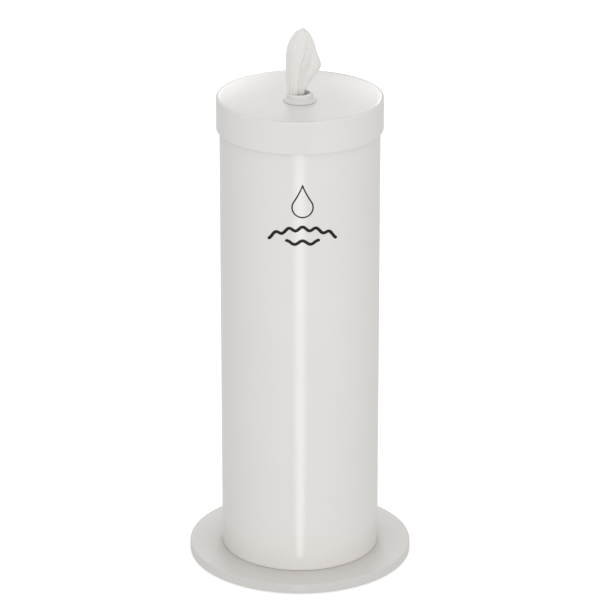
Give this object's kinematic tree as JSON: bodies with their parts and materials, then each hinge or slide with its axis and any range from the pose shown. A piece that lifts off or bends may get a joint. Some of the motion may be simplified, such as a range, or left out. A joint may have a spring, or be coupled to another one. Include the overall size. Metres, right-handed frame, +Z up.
{
  "type": "floor-standing wipes dispenser",
  "caption": "Tall round free-standing wipes dispenser on a wide round weighted foot, with a slip-on dished lid and a wipe standing out of its centre nozzle.",
  "frame": {"origin": "on the floor under the middle of the round foot", "axes": "+Z up along the tube's axis; the front faces -Y, +X to the right seen from the front"},
  "size_m": [0.36, 0.36, 0.892],
  "materials": {
    "white_enamel": "glossy warm-white powder coat on sheet steel",
    "cast_iron": "rough, black-dipped",
    "galvanised_steel": "satin galvanised",
    "zinc_hardware": "bright zinc plate",
    "black_rubber": "matt",
    "grey_foam": "closed-cell foam",
    "nozzle_plastic": "satin moulded",
    "bucket_plastic": "milky moulded polyethylene",
    "grip_plastic": "moulded",
    "nonwoven_wipe": "soft nonwoven"
  },
  "bodies": {
    "root": {"base_cover": "white_enamel", "base_weight": "cast_iron", "base_bottom_plate": "galvanised_steel", "base_foot_1": "black_rubber", "base_foot_2": "black_rubber", "base_foot_3": "black_rubber", "base_foot_4": "black_rubber", "foot_screw_1": "zinc_hardware", "foot_screw_2": "zinc_hardware", "foot_screw_3": "zinc_hardware", "foot_screw_4": "zinc_hardware", "tube_foot_ring": "galvanised_steel", "base_bolt_1": "zinc_hardware", "base_bolt_2": "zinc_hardware", "base_bolt_3": "zinc_hardware", "base_bolt_4": "zinc_hardware", "base_nut_1": "zinc_hardware", "base_nut_2": "zinc_hardware", "base_nut_3": "zinc_hardware", "base_nut_4": "zinc_hardware", "body_tube": "white_enamel", "shelf": "galvanised_steel", "shelf_bracket_1": "galvanised_steel", "shelf_bracket_2": "galvanised_steel", "shelf_bracket_3": "galvanised_steel", "shelf_bracket_4": "galvanised_steel", "shelf_screw_1": "zinc_hardware", "shelf_screw_2": "zinc_hardware", "shelf_screw_3": "zinc_hardware", "shelf_screw_4": "zinc_hardware"},
    "bucket": {"bucket": "bucket_plastic", "wipes_roll": "nonwoven_wipe"},
    "bail": {"bucket_bail": "zinc_hardware", "bail_grip": "grip_plastic"},
    "lid": {"lid_shell": "white_enamel", "lid_seal": "grey_foam", "nozzle": "nozzle_plastic", "nozzle_gasket": "grey_foam", "nozzle_nut": "nozzle_plastic", "nozzle_diaphragm": "black_rubber"},
    "wipe": {"wipe_sheet": "nonwoven_wipe", "wipe_tail": "nonwoven_wipe"}
  },
  "joints": [
    {"name": "lid_lift", "type": "slide", "parent": "root", "child": "lid", "axis": [0, 0, 1], "range_m": [0, 0.64]},
    {"name": "bucket_lift", "type": "slide", "parent": "root", "child": "bucket", "axis": [0, 0, 1], "range_m": [0, 0.32]},
    {"name": "bail_swing", "type": "hinge", "parent": "bucket", "child": "bail", "pos_m": [0, 0, 0.7613], "axis": [1, 0, 0], "range_deg": [0, 90]},
    {"name": "wipe_pull", "type": "slide", "parent": "lid", "child": "wipe", "axis": [0, 0, 1], "range_m": [0, 0.12]}
  ],
  "couplings": [
    {"joint": "bucket_lift", "follows": "lid_lift", "ratio": 0.5},
    {"joint": "bail_swing", "follows": "lid_lift", "rad_per_m": 2.4543}
  ]
}
